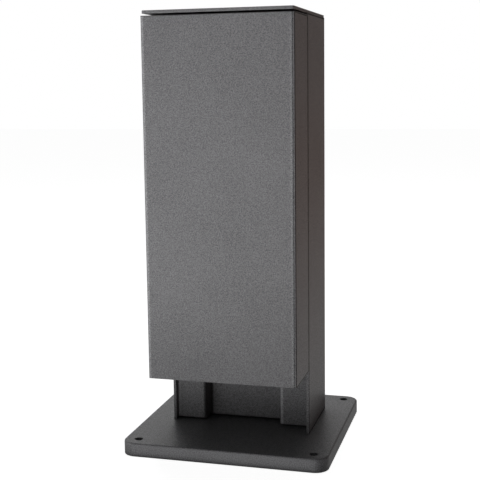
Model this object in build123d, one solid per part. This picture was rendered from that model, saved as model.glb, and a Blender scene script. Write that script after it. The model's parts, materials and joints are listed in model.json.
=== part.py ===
from build123d import *
import os

# Garden socket post: a square sheet metal post on a thick foot plate. A tall door
# on hidden pivots covers four panel sockets with sprung lids.
# Millimetres. Origin: centre of the foot plate's underside, +Z up, the door faces -Y.

# Foot plate
base_width = 210.0
base_depth = 200.0
base_thickness = 14.0
base_corner_radius = 14.0
base_top_round = 1.6
base_under_round = 0.8
anchor_hole_diameter = 8.5
anchor_inset_x = 15.0
anchor_inset_y = 13.0

# Post shell, one folded sheet that is open towards the door
total_height = 440.0
post_width = 150.0
post_depth = 150.0
post_set_forward = 18.5
shell_wall = 3.0
shell_bend_radius = 4.0
foot_flange_width = 22.0
foot_flange_behind_tray = 9.5
foot_flange_back_gap = 3.5

# Top cap
cap_thickness = 3.0
cap_inset = 0.75
cap_corner_radius = 2.0
cap_edge_round = 0.5
cap_skirt_height = 12.0
cap_skirt_wall = 2.0
cap_skirt_clearance = 0.3
cap_back_skirt_margin = 12.0
cap_side_skirt_behind_tray = 4.5
cap_side_skirt_back_gap = 12.5
cap_screw_margin = 27.0

# Door
door_wall = 2.0
door_edge_round = 1.2
door_inner_round = 0.5
door_bottom = 80.0
door_right_to_tray = 20.0
door_left_to_tray = 8.5
door_top_gap = 2.0
door_top_return = 20.0
door_bottom_return = 12.0
door_right_gap = 1.5
door_left_gap = 3.0

# Mounting tray and its rails
tray_wall = 2.0
tray_bend_radius = 0.5
chamber_depth = 51.0
tray_recess_depth = 16.0
tray_opening = 80.0
tray_side_clearance = 0.3
tray_bottom_gap = 2.0
tray_top_gap = 15.0
rail_wall = 2.0
rail_bend_radius = 1.0
rail_front_leg = 16.0
rail_side_leg = 17.0
tray_screw_inset = 8.0
tray_screw_first = 76.0
tray_screw_top_drop = 12.0
tray_screw_rows = 4

# Door pivots
pivot_from_return = 6.0
pivot_forward = 13.0
pivot_pin_diameter = 5.0
pivot_running_clearance = 0.05
pivot_eye_diameter = 10.0
pivot_plate = 3.0
pivot_washer_thickness = 0.8
pivot_washer_diameter = 9.0
pivot_axial_play = 0.1
pivot_head_diameter = 8.0
pivot_head_height = 2.0
pivot_foot_height = 1.5
pivot_foot_diameter = 6.4
pivot_lower_rise = 28.0
pivot_upper_drop = 43.0
pivot_neck_start = 14.0
pivot_neck_width = 12.0
pivot_arm_width = 5.0
pivot_bracket_foot = 26.0
pivot_bracket_foot_wall = 2.0
pivot_screw_low = 9.0
pivot_screw_high = 20.0
lug_leg_height = 24.0
lug_leg_wall = 2.0
lug_leg_half_length = 9.0

# Magnet catch
catch_inset = 13.0
catch_foot_width = 18.0
catch_foot_height = 56.0
catch_foot_wall = 2.5
catch_tower_width = 14.0
catch_tower_height = 32.0
catch_front_gap = 0.3
magnet_width = 9.0
magnet_height = 24.0
magnet_depth = 10.0
magnet_proud = 0.4
catch_screw_spacing = 46.0
strike_wall = 1.6
strike_leg_length = 22.0
strike_set_back = 0.5

# Sockets
socket_foot_margin = 119.0
socket_head_margin = 47.0
socket_pitch = 80.0
socket_flange = 50.0
socket_flange_corner = 5.0
socket_flange_thickness = 3.5
socket_seal_thickness = 1.0
socket_seal_margin = 1.0
socket_body_wall = 1.9
socket_body_depth = 26.0
socket_cutout_clearance = 0.5
collar_wall = 3.0
collar_height = 5.0
dish_diameter = 39.0
dish_depth = 17.5
dish_key_width = 5.0
dish_key_height = 1.6
pin_hole_spacing = 19.0
pin_hole_diameter = 5.6
socket_screw_inset = 6.0
socket_screw_hole = 3.8
contact_wall = 0.5
contact_gap = 0.1
contact_side_gap = 0.2
contact_tail_width = 6.0
contact_tail_depth = 6.0
contact_tail_height = 9.0
earth_clip_width = 4.0
earth_clip_wall = 0.8
earth_clip_bulge = 1.2
earth_clip_margin = 0.6
rear_cover_depth = 12.0
rear_cover_wall = 1.6
rear_cover_notch = 26.0

# Socket lids
lid_axis_forward = 3.2
lid_axis_above = 2.5
lid_depth = 9.0
lid_plate = 2.8
lid_skirt_wall = 2.0
lid_skirt_gap = 0.5
lid_top_rise = 2.4
lid_corner_radius = 5.0
lid_front_round = 1.2
lid_panel_margin = 6.0
lid_panel_depth = 0.5
lid_lip_width = 24.0
lid_lip_height = 3.0
lid_lip_depth = 5.0
lid_pin_diameter = 2.5
lid_running_clearance = 0.05
lid_barrel_diameter = 5.2
lid_barrel_inner = 8.0
ear_inner = 16.0
ear_width = 4.0
ear_diameter = 5.4
ear_drop = 5.2
ear_gap = 0.3
lid_seal_width = 2.2
lid_seal_thickness = 1.1
spring_wall = 0.8
spring_inner_diameter = 3.6
spring_length = 12.7
spring_leg = 3.6
spring_leg_diameter = 0.6

# Screws, nuts and washers
m4_diameter = 4.0
m4_head_diameter = 7.6
m4_head_height = 2.2
m4_drive_width = 1.1
m4_drive_length = 4.2
m4_drive_depth = 1.3
m4_hole = 4.4
m4_length = 12.0
m4_thread_gap = 0.05
rivet_nut_diameter = 6.0
rivet_nut_length = 8.0
small_screw_diameter = 3.5
small_head_diameter = 6.0
small_head_height = 2.0
small_drive_length = 3.4
small_screw_length = 9.0
m6_diameter = 6.0
m6_head_diameter = 10.0
m6_head_height = 6.0
m6_socket_width = 5.0
m6_socket_depth = 3.0
m6_hole = 6.6
m6_length = 18.0
m6_nut_width = 10.0
m6_nut_height = 5.0
foot_screw_margin = 8.0
foot_counterbore_diameter = 12.0
foot_counterbore_depth = 7.0

# Cable inlet
gland_thread_diameter = 20.0
gland_hole_clearance = 0.2
gland_hex_margin = 2.0
gland_hex_height = 6.0
gland_collar_diameter = 17.0
gland_collar_height = 9.0
gland_bore = 13.0
gland_recess_margin = 2.0
gland_recess_depth = 8.0
gland_tail = 7.0
gland_locknut_width = 26.0
gland_locknut_height = 4.0
gland_nut_height = 13.0
gland_nut_wall = 2.6
gland_flute_count = 8
gland_nut_roof = 2.0
gland_seal_bore = 11.6
gland_seal_height = 8.0

# Terminal block and earth stud
terminal_rise = 36.0
terminal_width = 54.0
terminal_height = 30.0
terminal_depth = 20.0
terminal_pitch = 9.5
terminal_bore = 3.1
terminal_sleeve_diameter = 5.6
terminal_sleeve_back = 12.0
terminal_screw_diameter = 2.4
terminal_screw_head = 3.8
terminal_screw_well = 4.6
terminal_screw_seat = 4.0
terminal_fixing_inset = 5.5
terminal_edge_round = 1.5
earth_stud_inset = 7.0
earth_stud_rise = 80.0
earth_stud_length = 16.0
earth_stud_head_height = 2.5
earth_lug_diameter = 11.0
earth_lug_thickness = 1.2

# Wires
wire_diameter = 2.8
wire_bow = 7.0
wire_loop_radius = 20.0
first_turn_share = 0.3
second_turn_share = 0.72
loop_share = 0.26

# Cuts run this far past the surface that they open
overrun = 2.0

# Places worked out from the sizes above
post_front = -post_set_forward - post_depth / 2
post_back = -post_set_forward + post_depth / 2
post_half = post_width / 2
inside_half = post_half - shell_wall
inside_back = post_back - shell_wall
shell_top = total_height - cap_thickness
door_top = shell_top - door_top_gap
door_inside_half = post_half - door_wall
door_inside_front = post_front + door_wall
recess_back = inside_back - chamber_depth
recess_face = recess_back - tray_wall
tray_flange_front = recess_face - tray_recess_depth
tray_flange_back = tray_flange_front + tray_wall
door_right_back = tray_flange_front - door_right_to_tray
door_left_back = tray_flange_front - door_left_to_tray
right_wall_front = door_right_back + door_right_gap
left_wall_front = door_left_back + door_left_gap
tray_bottom = base_thickness + tray_bottom_gap
tray_top = shell_top - tray_top_gap
tray_half = inside_half - tray_side_clearance
opening_half = tray_opening / 2
inlet_y = (recess_back + inside_back) / 2
foot_flange_front = recess_back + foot_flange_behind_tray
foot_flange_back = inside_back - foot_flange_back_gap
foot_screw_x = inside_half - foot_flange_width / 2
tray_screw_x = inside_half - tray_screw_inset
flange_front = recess_face - socket_seal_thickness - socket_flange_thickness
flange_back = recess_face - socket_seal_thickness
body_back = flange_front + socket_body_depth + socket_flange_thickness
collar_front = flange_front - collar_height
collar_diameter = dish_diameter + 2 * collar_wall
socket_body_diameter = dish_diameter + 2 * socket_body_wall
dish_floor = collar_front + dish_depth
contact_sleeve_diameter = pin_hole_diameter - 2 * contact_side_gap
socket_screw_reach = socket_flange / 2 - socket_screw_inset
lid_front = flange_front - lid_depth
lid_inner_face = lid_front + lid_plate
lid_skirt_back = flange_front - lid_skirt_gap
lid_axis_y = flange_front - lid_axis_forward
lid_axis_rise = socket_flange / 2 + lid_axis_above
gland_hole_diameter = gland_thread_diameter + 2 * gland_hole_clearance
gland_hex = gland_thread_diameter + 2 * gland_hex_margin
gland_recess_diameter = 2 * (gland_locknut_width / 3**0.5 + gland_recess_margin)
socket_first_height = tray_bottom + socket_foot_margin
socket_room = tray_top - socket_head_margin - socket_first_height
socket_count = 1 + int(socket_room // socket_pitch)
socket_heights = [socket_first_height + socket_pitch * number for number in range(socket_count)]
pivot_lower_height = door_bottom + pivot_lower_rise
pivot_upper_height = door_top - pivot_upper_drop
catch_centre_z = (door_bottom + door_top) / 2
pivot_x = pivot_from_return - door_inside_half
pivot_y = left_wall_front - pivot_forward
bracket_x = pivot_x + pivot_neck_start + pivot_neck_width / 2
catch_centre_x = inside_half - catch_inset
cap_screw_x = inside_half - cap_screw_margin
terminal_bottom = tray_bottom + terminal_rise
terminal_fixing_x = terminal_width / 2 - terminal_fixing_inset
earth_stud_x = opening_half - earth_stud_inset
earth_stud_height = tray_bottom + earth_stud_rise


def block(x_low, x_high, y_low, y_high, z_low, z_high):
    centre = Pos((x_low + x_high) / 2, (y_low + y_high) / 2, (z_low + z_high) / 2)
    return centre * Box(x_high - x_low, y_high - y_low, z_high - z_low)


def rod_x(y, z, x_low, x_high, diameter):
    return Pos((x_low + x_high) / 2, y, z) * Rot(0, 90, 0) * Cylinder(diameter / 2, x_high - x_low)


def rod_y(x, z, y_low, y_high, diameter):
    return Pos(x, (y_low + y_high) / 2, z) * Rot(90, 0, 0) * Cylinder(diameter / 2, y_high - y_low)


def rod_z(x, y, z_low, z_high, diameter):
    return Pos(x, y, (z_low + z_high) / 2) * Cylinder(diameter / 2, z_high - z_low)


def hex_z(x, y, z_low, z_high, width):
    outline = RegularPolygon(width / 2, 6, major_radius=False)
    return Pos(x, y, z_low) * extrude(outline, z_high - z_low)


def hex_y(x, z, y_low, y_high, width):
    outline = RegularPolygon(width / 2, 6, major_radius=False)
    return Pos(x, y_high, z) * Rot(90, 0, 0) * extrude(outline, y_high - y_low)


def folded_sheet(corners, wall, inner_radius, z_low, z_high):
    """A sheet of even thickness whose middle line runs through the corners."""
    path = FilletPolyline(*corners, radius=inner_radius + wall / 2)
    section = Plane(origin=path @ 0, x_dir=(0, 0, 1), z_dir=path % 0) * Rectangle(z_high - z_low, wall)
    return Pos(0, 0, (z_low + z_high) / 2) * sweep(section, path=path)


def cross_screw(shank, length, head, head_height, drive_length):
    """Stands on the origin with its head up and its shank down."""
    body = Pos(0, 0, head_height / 2) * Cylinder(head / 2, head_height)
    body = fillet(body.edges().sort_by(Axis.Z)[-1], head_height / 2)
    body += Pos(0, 0, -length / 2) * Cylinder(shank / 2, length)
    slot_centre = Pos(0, 0, head_height)
    body -= slot_centre * Box(drive_length, m4_drive_width, 2 * m4_drive_depth)
    body -= slot_centre * Box(m4_drive_width, drive_length, 2 * m4_drive_depth)
    return body


def m4_screw():
    return cross_screw(m4_diameter, m4_length, m4_head_diameter, m4_head_height, m4_drive_length)


def small_screw():
    return cross_screw(
        small_screw_diameter, small_screw_length,
        small_head_diameter, small_head_height, small_drive_length
    )


def group(pieces):
    return Compound(children=list(pieces))


def make_base():
    outline = RectangleRounded(base_width, base_depth, base_corner_radius)
    plate = extrude(outline, base_thickness)
    plate = fillet(plate.faces().sort_by(Axis.Z)[-1].edges(), base_top_round)
    plate = fillet(plate.faces().sort_by(Axis.Z)[0].edges(), base_under_round)
    anchor_x = base_width / 2 - anchor_inset_x
    anchor_y = base_depth / 2 - anchor_inset_y
    for x in (-anchor_x, anchor_x):
        for y in (-anchor_y, anchor_y):
            plate -= rod_z(x, y, -overrun, base_thickness + overrun, anchor_hole_diameter)
    for x, y in foot_screw_places():
        plate -= rod_z(x, y, -overrun, base_thickness + overrun, m6_hole)
        plate -= rod_z(x, y, -overrun, foot_counterbore_depth, foot_counterbore_diameter)
    plate -= rod_z(0, inlet_y, -overrun, base_thickness + overrun, gland_hole_diameter)
    plate -= rod_z(0, inlet_y, -overrun, gland_recess_depth, gland_recess_diameter)
    return plate


def foot_screw_places():
    places = []
    for x in (-foot_screw_x, foot_screw_x):
        for y in (foot_flange_front + foot_screw_margin, foot_flange_back - foot_screw_margin):
            places.append((x, y))
    return places


def make_shell():
    middle = post_half - shell_wall / 2
    back = post_back - shell_wall / 2
    corners = [
        (-middle, left_wall_front),
        (-middle, back),
        (middle, back),
        (middle, right_wall_front),
    ]
    shell = folded_sheet(corners, shell_wall, shell_bend_radius - shell_wall, base_thickness, shell_top)
    inner = inside_half - foot_flange_width
    flange_top = base_thickness + shell_wall
    shell += block(
        -inside_half - shell_wall / 2, -inner, foot_flange_front,
        foot_flange_back, base_thickness, flange_top
    )
    shell += block(
        inner, inside_half + shell_wall / 2, foot_flange_front,
        foot_flange_back, base_thickness, flange_top
    )
    for x, y in foot_screw_places():
        shell -= rod_z(x, y, base_thickness - overrun, flange_top + overrun, m6_hole)
    for x in (-cap_screw_x, cap_screw_x):
        shell -= rod_y(x, cap_screw_height(), inside_back - overrun, post_back + overrun, m4_hole)
    return shell


def cap_screw_height():
    return shell_top - cap_skirt_height / 2


def make_cap():
    half = post_half - cap_inset
    depth = post_depth - 2 * cap_inset
    outline = Pos(0, -post_set_forward) * RectangleRounded(2 * half, depth, cap_corner_radius)
    cap = Pos(0, 0, shell_top) * extrude(outline, cap_thickness)
    cap = fillet(cap.faces().sort_by(Axis.Z)[-1].edges(), cap_edge_round)
    skirt_low = shell_top - cap_skirt_height
    skirt_outer = inside_half - cap_skirt_clearance
    back_outer = inside_back - cap_skirt_clearance
    cap += block(
        cap_back_skirt_margin - inside_half,
        inside_half - cap_back_skirt_margin,
        back_outer - cap_skirt_wall,
        back_outer,
        skirt_low,
        shell_top,
    )
    side_front = tray_flange_back + cap_side_skirt_behind_tray
    side_end = inside_back - cap_side_skirt_back_gap
    for side in (-1, 1):
        low, high = sorted((side * skirt_outer, side * (skirt_outer - cap_skirt_wall)))
        cap += block(low, high, side_front, side_end, skirt_low, shell_top)
    for x in (-cap_screw_x, cap_screw_x):
        hole = m4_diameter + 2 * m4_thread_gap
        cap -= rod_y(
            x, cap_screw_height(), back_outer - cap_skirt_wall - overrun, back_outer + overrun, hole
        )
    return cap


def make_cap_screws():
    screws = []
    for x in (-cap_screw_x, cap_screw_x):
        screws.append(Pos(x, post_back, cap_screw_height()) * Rot(-90, 0, 0) * m4_screw())
    return group(screws)


def make_foot_screws():
    screws = []
    for x, y in foot_screw_places():
        seat = foot_counterbore_depth
        screw = rod_z(x, y, seat - m6_head_height, seat, m6_head_diameter)
        screw += rod_z(x, y, seat, seat + m6_length, m6_diameter)
        socket_low = seat - m6_head_height
        screw -= hex_z(x, y, socket_low - overrun, socket_low + m6_socket_depth, m6_socket_width)
        screws.append(screw)
    return group(screws)


def make_foot_nuts():
    nuts = []
    seat = base_thickness + shell_wall
    for x, y in foot_screw_places():
        nut = hex_z(x, y, seat, seat + m6_nut_height, m6_nut_width)
        nut -= rod_z(
            x, y, seat - overrun, seat + m6_nut_height + overrun, m6_diameter + 2 * m4_thread_gap
        )
        nuts.append(nut)
    return group(nuts)


def make_door():
    door = block(-post_half, post_half, post_front, door_left_back, door_bottom, door_top)
    door = fillet(door.faces().sort_by(Axis.Y)[0].edges(), door_edge_round)
    hollow = block(
        -door_inside_half,
        door_inside_half,
        door_inside_front,
        door_left_back + overrun,
        door_bottom + door_wall,
        door_top - door_wall,
    )
    hollow = fillet(hollow.faces().sort_by(Axis.Y)[0].edges(), door_inner_round)
    door -= hollow
    door -= block(
        -door_inside_half,
        door_inside_half,
        post_front + door_top_return,
        door_left_back + overrun,
        door_top - door_wall - overrun,
        door_top + overrun,
    )
    door -= block(
        -door_inside_half,
        door_inside_half,
        post_front + door_bottom_return,
        door_left_back + overrun,
        door_bottom - overrun,
        door_bottom + door_wall + overrun,
    )
    door -= block(
        door_inside_half - overrun,
        post_half + overrun,
        door_right_back,
        door_left_back + overrun,
        door_bottom - overrun,
        door_top + overrun,
    )
    return door


def make_tray():
    web = opening_half + tray_wall / 2
    flange_middle = tray_flange_front + tray_wall / 2
    recess_middle = recess_face + tray_wall / 2
    corners = [
        (-tray_half, flange_middle),
        (-web, flange_middle),
        (-web, recess_middle),
        (web, recess_middle),
        (web, flange_middle),
        (tray_half, flange_middle),
    ]
    tray = folded_sheet(corners, tray_wall, tray_bend_radius, tray_bottom, tray_top)
    cut_front = recess_face - overrun
    cut_back = recess_back + overrun
    for height in socket_heights:
        tray -= rod_y(
            0, height, cut_front, cut_back, socket_body_diameter + 2 * socket_cutout_clearance
        )
        for x, z in socket_screw_places(height):
            tray -= rod_y(x, z, cut_front, cut_back, small_screw_diameter + 2 * m4_thread_gap)
    for x in (-terminal_fixing_x, terminal_fixing_x):
        tray -= rod_y(x, terminal_fixing_height(), cut_front, cut_back, socket_screw_hole)
    for x, z in rivet_nut_places():
        tray -= rod_y(x, z, tray_flange_front - overrun, tray_flange_back + overrun, m4_hole)
    tray -= rod_y(earth_stud_x, earth_stud_height, cut_front, cut_back, m4_hole)
    return tray


def socket_screw_places(height):
    reach = socket_screw_reach
    return [(x, height + rise) for x in (-reach, reach) for rise in (-reach, reach)]


def terminal_fixing_height():
    return terminal_bottom + terminal_height / 2


def tray_screw_places():
    first = tray_bottom + tray_screw_first
    step = (tray_top - tray_screw_top_drop - first) / (tray_screw_rows - 1)
    heights = [first + step * row for row in range(tray_screw_rows)]
    return [(x, z) for x in (-tray_screw_x, tray_screw_x) for z in heights]


def hinge_screw_places():
    places = []
    for height in (pivot_lower_height, pivot_upper_height):
        places.append((bracket_x, height + pivot_screw_low))
        places.append((bracket_x, height + pivot_screw_high))
    return places


def catch_screw_places():
    half = catch_screw_spacing / 2
    return [(catch_centre_x, catch_centre_z - half), (catch_centre_x, catch_centre_z + half)]


def rivet_nut_places():
    return tray_screw_places() + hinge_screw_places() + catch_screw_places()


def make_rail(side):
    wall_middle = side * (inside_half - rail_wall / 2)
    leg_middle = tray_flange_back + rail_wall / 2
    corners = [
        (wall_middle, tray_flange_back + rail_side_leg),
        (wall_middle, leg_middle),
        (side * (inside_half - rail_front_leg), leg_middle),
    ]
    rail = folded_sheet(corners, rail_wall, rail_bend_radius, tray_bottom, tray_top)
    for x, z in rivet_nut_places():
        if x * side > 0 and abs(x) > inside_half - rail_front_leg - rivet_nut_diameter:
            rail -= rod_y(
                x, z, tray_flange_back - overrun, tray_flange_back + rail_wall + overrun, m4_hole
            )
    return rail


def make_tray_screws():
    screws = []
    for x, z in tray_screw_places():
        screws.append(Pos(x, tray_flange_front, z) * Rot(90, 0, 0) * m4_screw())
    return group(screws)


def rivet_nut_seat(x):
    """Behind the rail where there is one, else behind the tray's flange."""
    behind_rail = abs(x) > inside_half - rail_front_leg - rivet_nut_diameter
    return tray_flange_back + (rail_wall if behind_rail else 0)


def make_rivet_nuts():
    nuts = []
    for x, z in rivet_nut_places():
        seat = rivet_nut_seat(x)
        nut = rod_y(x, z, seat, seat + rivet_nut_length, rivet_nut_diameter)
        nut -= rod_y(
            x, z, seat - overrun, seat + rivet_nut_length + overrun, m4_diameter + 2 * m4_thread_gap
        )
        nuts.append(nut)
    return group(nuts)


def make_bracket(height):
    """Goose-neck plate: out from the tray's flange, then left to the pivot."""
    eye = rod_z(pivot_x, pivot_y, height, height + pivot_plate, pivot_eye_diameter)
    neck_left = pivot_x + pivot_neck_start
    neck_right = neck_left + pivot_neck_width
    arm_low = pivot_y - pivot_arm_width
    plate = block(pivot_x, neck_right, arm_low, pivot_y, height, height + pivot_plate)
    plate += block(neck_left, neck_right, arm_low, tray_flange_front, height, height + pivot_plate)
    plate = plate + eye
    plate += block(
        neck_left,
        neck_right,
        tray_flange_front - pivot_bracket_foot_wall,
        tray_flange_front,
        height,
        height + pivot_bracket_foot,
    )
    plate -= rod_z(
        pivot_x, pivot_y, height - overrun, height + pivot_plate + overrun, pivot_pin_diameter
    )
    for x, z in hinge_screw_places():
        if height < z < height + pivot_bracket_foot:
            foot_front = tray_flange_front - pivot_bracket_foot_wall
            plate -= rod_y(x, z, foot_front - overrun, tray_flange_front + overrun, m4_hole)
    return plate


def lug_low(height):
    return height + pivot_plate + pivot_washer_thickness + pivot_axial_play


def make_lug(height):
    """Angle on the door's left return, with the eye that turns on the pin."""
    low = lug_low(height)
    high = low + pivot_plate
    half = pivot_eye_diameter / 2
    lug = rod_z(pivot_x, pivot_y, low, high, pivot_eye_diameter)
    lug += block(-door_inside_half, pivot_x, pivot_y - half, pivot_y + half, low, high)
    lug += block(
        -door_inside_half,
        -door_inside_half + lug_leg_wall,
        pivot_y - lug_leg_half_length,
        pivot_y + lug_leg_half_length,
        low,
        low + lug_leg_height,
    )
    bore = pivot_pin_diameter + 2 * pivot_running_clearance
    lug -= rod_z(pivot_x, pivot_y, low - overrun, high + pivot_head_height + overrun, bore)
    head_room = pivot_head_diameter + 2 * pivot_axial_play
    lug -= rod_z(pivot_x, pivot_y, high, low + lug_leg_height + overrun, head_room)
    return lug


def make_pivot_pins():
    pins = []
    for height in (pivot_lower_height, pivot_upper_height):
        head_low = lug_low(height) + pivot_plate + pivot_axial_play
        pin = rod_z(pivot_x, pivot_y, height - pivot_foot_height, head_low, pivot_pin_diameter)
        pin += rod_z(pivot_x, pivot_y, head_low, head_low + pivot_head_height, pivot_head_diameter)
        pin += rod_z(pivot_x, pivot_y, height - pivot_foot_height, height, pivot_foot_diameter)
        pins.append(pin)
    return group(pins)


def make_pivot_washers():
    washers = []
    for height in (pivot_lower_height, pivot_upper_height):
        low = height + pivot_plate
        high = low + pivot_washer_thickness
        washer = rod_z(pivot_x, pivot_y, low, high, pivot_washer_diameter)
        washers.append(
            washer - rod_z(pivot_x, pivot_y, low - overrun, high + overrun, pivot_pin_diameter)
        )
    return group(washers)


def make_hinge_screws():
    screws = []
    seat = tray_flange_front - pivot_bracket_foot_wall
    for x, z in hinge_screw_places():
        screws.append(Pos(x, seat, z) * Rot(90, 0, 0) * m4_screw())
    return group(screws)


def catch_front():
    """The strike plate's rear face, less the gap to the magnet."""
    return door_right_back + strike_set_back + catch_front_gap


def make_catch_housing():
    foot_half = catch_foot_width / 2
    tower_half = catch_tower_width / 2
    foot_front = tray_flange_front - catch_foot_wall
    housing = block(
        catch_centre_x - foot_half,
        catch_centre_x + foot_half,
        foot_front,
        tray_flange_front,
        catch_centre_z - catch_foot_height / 2,
        catch_centre_z + catch_foot_height / 2,
    )
    housing = fillet(housing.edges().filter_by(Axis.Y), catch_foot_wall)
    tower = block(
        catch_centre_x - tower_half,
        catch_centre_x + tower_half,
        catch_front() + magnet_proud,
        tray_flange_front,
        catch_centre_z - catch_tower_height / 2,
        catch_centre_z + catch_tower_height / 2,
    )
    tower = fillet(tower.edges().filter_by(Axis.Y), catch_foot_wall)
    housing += tower
    housing -= make_magnet()
    for x, z in catch_screw_places():
        housing -= rod_y(x, z, foot_front - overrun, tray_flange_front + overrun, m4_hole)
    return housing


def make_magnet():
    front = catch_front()
    return block(
        catch_centre_x - magnet_width / 2,
        catch_centre_x + magnet_width / 2,
        front,
        front + magnet_depth,
        catch_centre_z - magnet_height / 2,
        catch_centre_z + magnet_height / 2,
    )


def make_catch_screws():
    screws = []
    for x, z in catch_screw_places():
        screws.append(Pos(x, tray_flange_front - catch_foot_wall, z) * Rot(90, 0, 0) * m4_screw())
    return group(screws)


def make_strike():
    back = door_right_back + strike_set_back
    left = catch_centre_x - catch_tower_width / 2
    low = catch_centre_z - catch_tower_height / 2
    high = catch_centre_z + catch_tower_height / 2
    strike = block(left, door_inside_half, back - strike_wall, back, low, high)
    strike += block(
        door_inside_half - strike_wall, door_inside_half, back - strike_leg_length, back, low, high
    )
    return strike


def make_gland_body():
    thread_low = base_thickness - gland_recess_depth / 2 - gland_tail
    body = rod_z(0, inlet_y, thread_low, base_thickness, gland_thread_diameter)
    hex_top = base_thickness + gland_hex_height
    body += hex_z(0, inlet_y, base_thickness, hex_top, gland_hex)
    body += rod_z(0, inlet_y, hex_top, hex_top + gland_collar_height, gland_collar_diameter)
    body -= rod_z(0, inlet_y, thread_low - overrun, hex_top + gland_collar_height + overrun, gland_bore)
    return body


def make_gland_locknut():
    high = gland_recess_depth
    low = high - gland_locknut_height
    nut = hex_z(0, inlet_y, low, high, gland_locknut_width)
    return nut - rod_z(
        0, inlet_y, low - overrun, high + overrun, gland_thread_diameter + 2 * m4_thread_gap
    )


def make_gland_seal():
    low = base_thickness + gland_hex_height + gland_collar_height - gland_seal_height
    high = low + gland_seal_height
    seal = rod_z(0, inlet_y, low, high, gland_bore)
    return seal - rod_z(0, inlet_y, low - overrun, high + overrun, gland_seal_bore)


def make_gland_nut():
    low = base_thickness + gland_hex_height
    high = low + gland_nut_height
    outer = gland_collar_diameter + 2 * gland_nut_wall
    nut = rod_z(0, inlet_y, low, high, outer)
    nut = fillet(nut.edges().sort_by(Axis.Z)[-1], gland_nut_wall)
    cavity_top = high - gland_nut_roof
    nut -= rod_z(0, inlet_y, low - overrun, cavity_top, gland_collar_diameter + 2 * m4_thread_gap)
    nut -= rod_z(0, inlet_y, low, high + overrun, gland_bore)
    for turn in range(gland_flute_count):
        angle = 360 / gland_flute_count * turn
        flute = Pos(outer / 2, 0, 0) * Cylinder(gland_nut_wall / 2, gland_nut_height)
        nut -= Pos(0, inlet_y, low + gland_nut_height / 2 - gland_nut_wall) * Rot(0, 0, angle) * flute
    return nut


def terminal_places():
    return [-terminal_pitch, 0, terminal_pitch]


def make_terminal_block():
    half = terminal_width / 2
    top = terminal_bottom + terminal_height
    back = recess_back + terminal_depth
    housing = block(-half, half, recess_back, back, terminal_bottom, top)
    housing = fillet(housing.faces().sort_by(Axis.Y)[-1].edges(), terminal_edge_round)
    middle = recess_back + terminal_sleeve_back
    for x in terminal_places():
        housing -= rod_z(x, middle, terminal_bottom - overrun, top + overrun, terminal_sleeve_diameter)
        housing -= rod_y(x, terminal_fixing_height(), middle, back + overrun, terminal_screw_well)
    for x in (-terminal_fixing_x, terminal_fixing_x):
        hole = small_screw_diameter + 2 * m4_thread_gap
        housing -= rod_y(x, terminal_fixing_height(), recess_back - overrun, back + overrun, hole)
    return housing


def make_terminal_sleeves():
    sleeves = []
    middle = recess_back + terminal_sleeve_back
    inset = terminal_edge_round
    for x in terminal_places():
        low = terminal_bottom + inset
        high = terminal_bottom + terminal_height - inset
        sleeve = rod_z(x, middle, low, high, terminal_sleeve_diameter)
        sleeve -= rod_z(x, middle, low - overrun, high + overrun, terminal_bore)
        sleeve -= rod_y(
            x, terminal_fixing_height(), middle,
            middle + terminal_sleeve_diameter, terminal_screw_diameter
        )
        sleeves.append(sleeve)
    return group(sleeves)


def make_terminal_screws():
    screws = []
    middle = recess_back + terminal_sleeve_back
    head_low = middle + terminal_screw_seat
    for x in terminal_places():
        z = terminal_fixing_height()
        screw = rod_y(x, z, middle, head_low, terminal_screw_diameter - 2 * m4_thread_gap)
        screw += rod_y(x, z, head_low, head_low + terminal_screw_diameter, terminal_screw_head)
        slot_back = head_low + terminal_screw_diameter
        slot = block(
            x - terminal_screw_head,
            x + terminal_screw_head,
            slot_back - m4_drive_depth / 2,
            slot_back + overrun,
            z - m4_drive_width / 2,
            z + m4_drive_width / 2,
        )
        screws.append(screw - slot)
    return group(screws)


def make_terminal_fixings():
    screws = []
    for x in (-terminal_fixing_x, terminal_fixing_x):
        screws.append(Pos(x, recess_face, terminal_fixing_height()) * Rot(90, 0, 0) * small_screw())
    return group(screws)


def make_earth_stud():
    stud = rod_y(
        earth_stud_x, earth_stud_height, recess_face, recess_face + earth_stud_length, m4_diameter
    )
    head_front = recess_face - earth_stud_head_height
    head = rod_y(earth_stud_x, earth_stud_height, head_front, recess_face, m4_head_diameter)
    return stud + head


def make_earth_nut():
    low = recess_back + earth_lug_thickness
    high = low + m4_diameter
    nut = hex_y(earth_stud_x, earth_stud_height, low, high, m4_head_diameter)
    hole = m4_diameter + 2 * m4_thread_gap
    return nut - rod_y(earth_stud_x, earth_stud_height, low - overrun, high + overrun, hole)


def socket_flange_outline(size, corner):
    return RectangleRounded(size, size, corner)


def plate_y(outline, y_low, y_high, height):
    return Pos(0, y_high, height) * Rot(90, 0, 0) * extrude(outline, y_high - y_low)


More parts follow.
